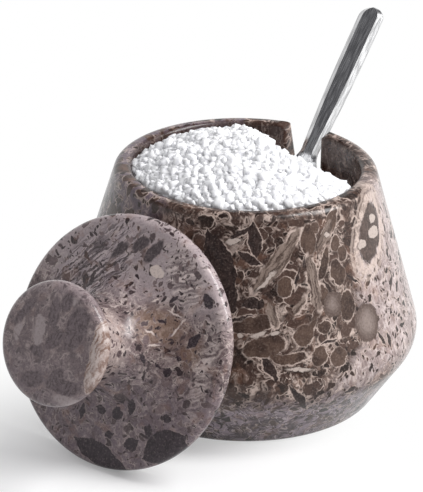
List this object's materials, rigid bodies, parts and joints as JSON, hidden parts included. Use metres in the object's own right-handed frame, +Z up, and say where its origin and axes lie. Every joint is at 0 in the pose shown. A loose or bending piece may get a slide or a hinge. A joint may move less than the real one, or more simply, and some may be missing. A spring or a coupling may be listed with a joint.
{
  "type": "salt cellar",
  "caption": "Squat turned stone jar with a spoon notch, heaped coarse salt, a small steel spoon and a knobbed stone lid standing against it.",
  "frame": {"origin": "centre of the jar's flat base, on the surface that it stands on", "axes": "+Z up along the jar's axis; +Y towards the back, 31 degrees to the left of the spoon notch seen from above; +X to the right; the lid stands at the front left"},
  "size_m": [0.1257, 0.154, 0.1043],
  "materials": {
    "stone": "polished",
    "lid_stone": "polished",
    "salt": "matte",
    "steel": "satin"
  },
  "bodies": {
    "jar": {"jar": "stone", "salt": "salt"},
    "spoon": {"spoon": "steel"},
    "lid": {"lid": "lid_stone"}
  },
  "joints": [
    {"name": "spoon_lift", "type": "slide", "parent": "jar", "child": "spoon", "axis": [0, 0, 1], "range_m": [0, 0.045], "deforming": ["salt"]},
    {"name": "lid_lift", "type": "slide", "parent": "jar", "child": "lid", "axis": [-0.539, -0.7698, 0.342], "range_m": [0, 0.06]}
  ]
}
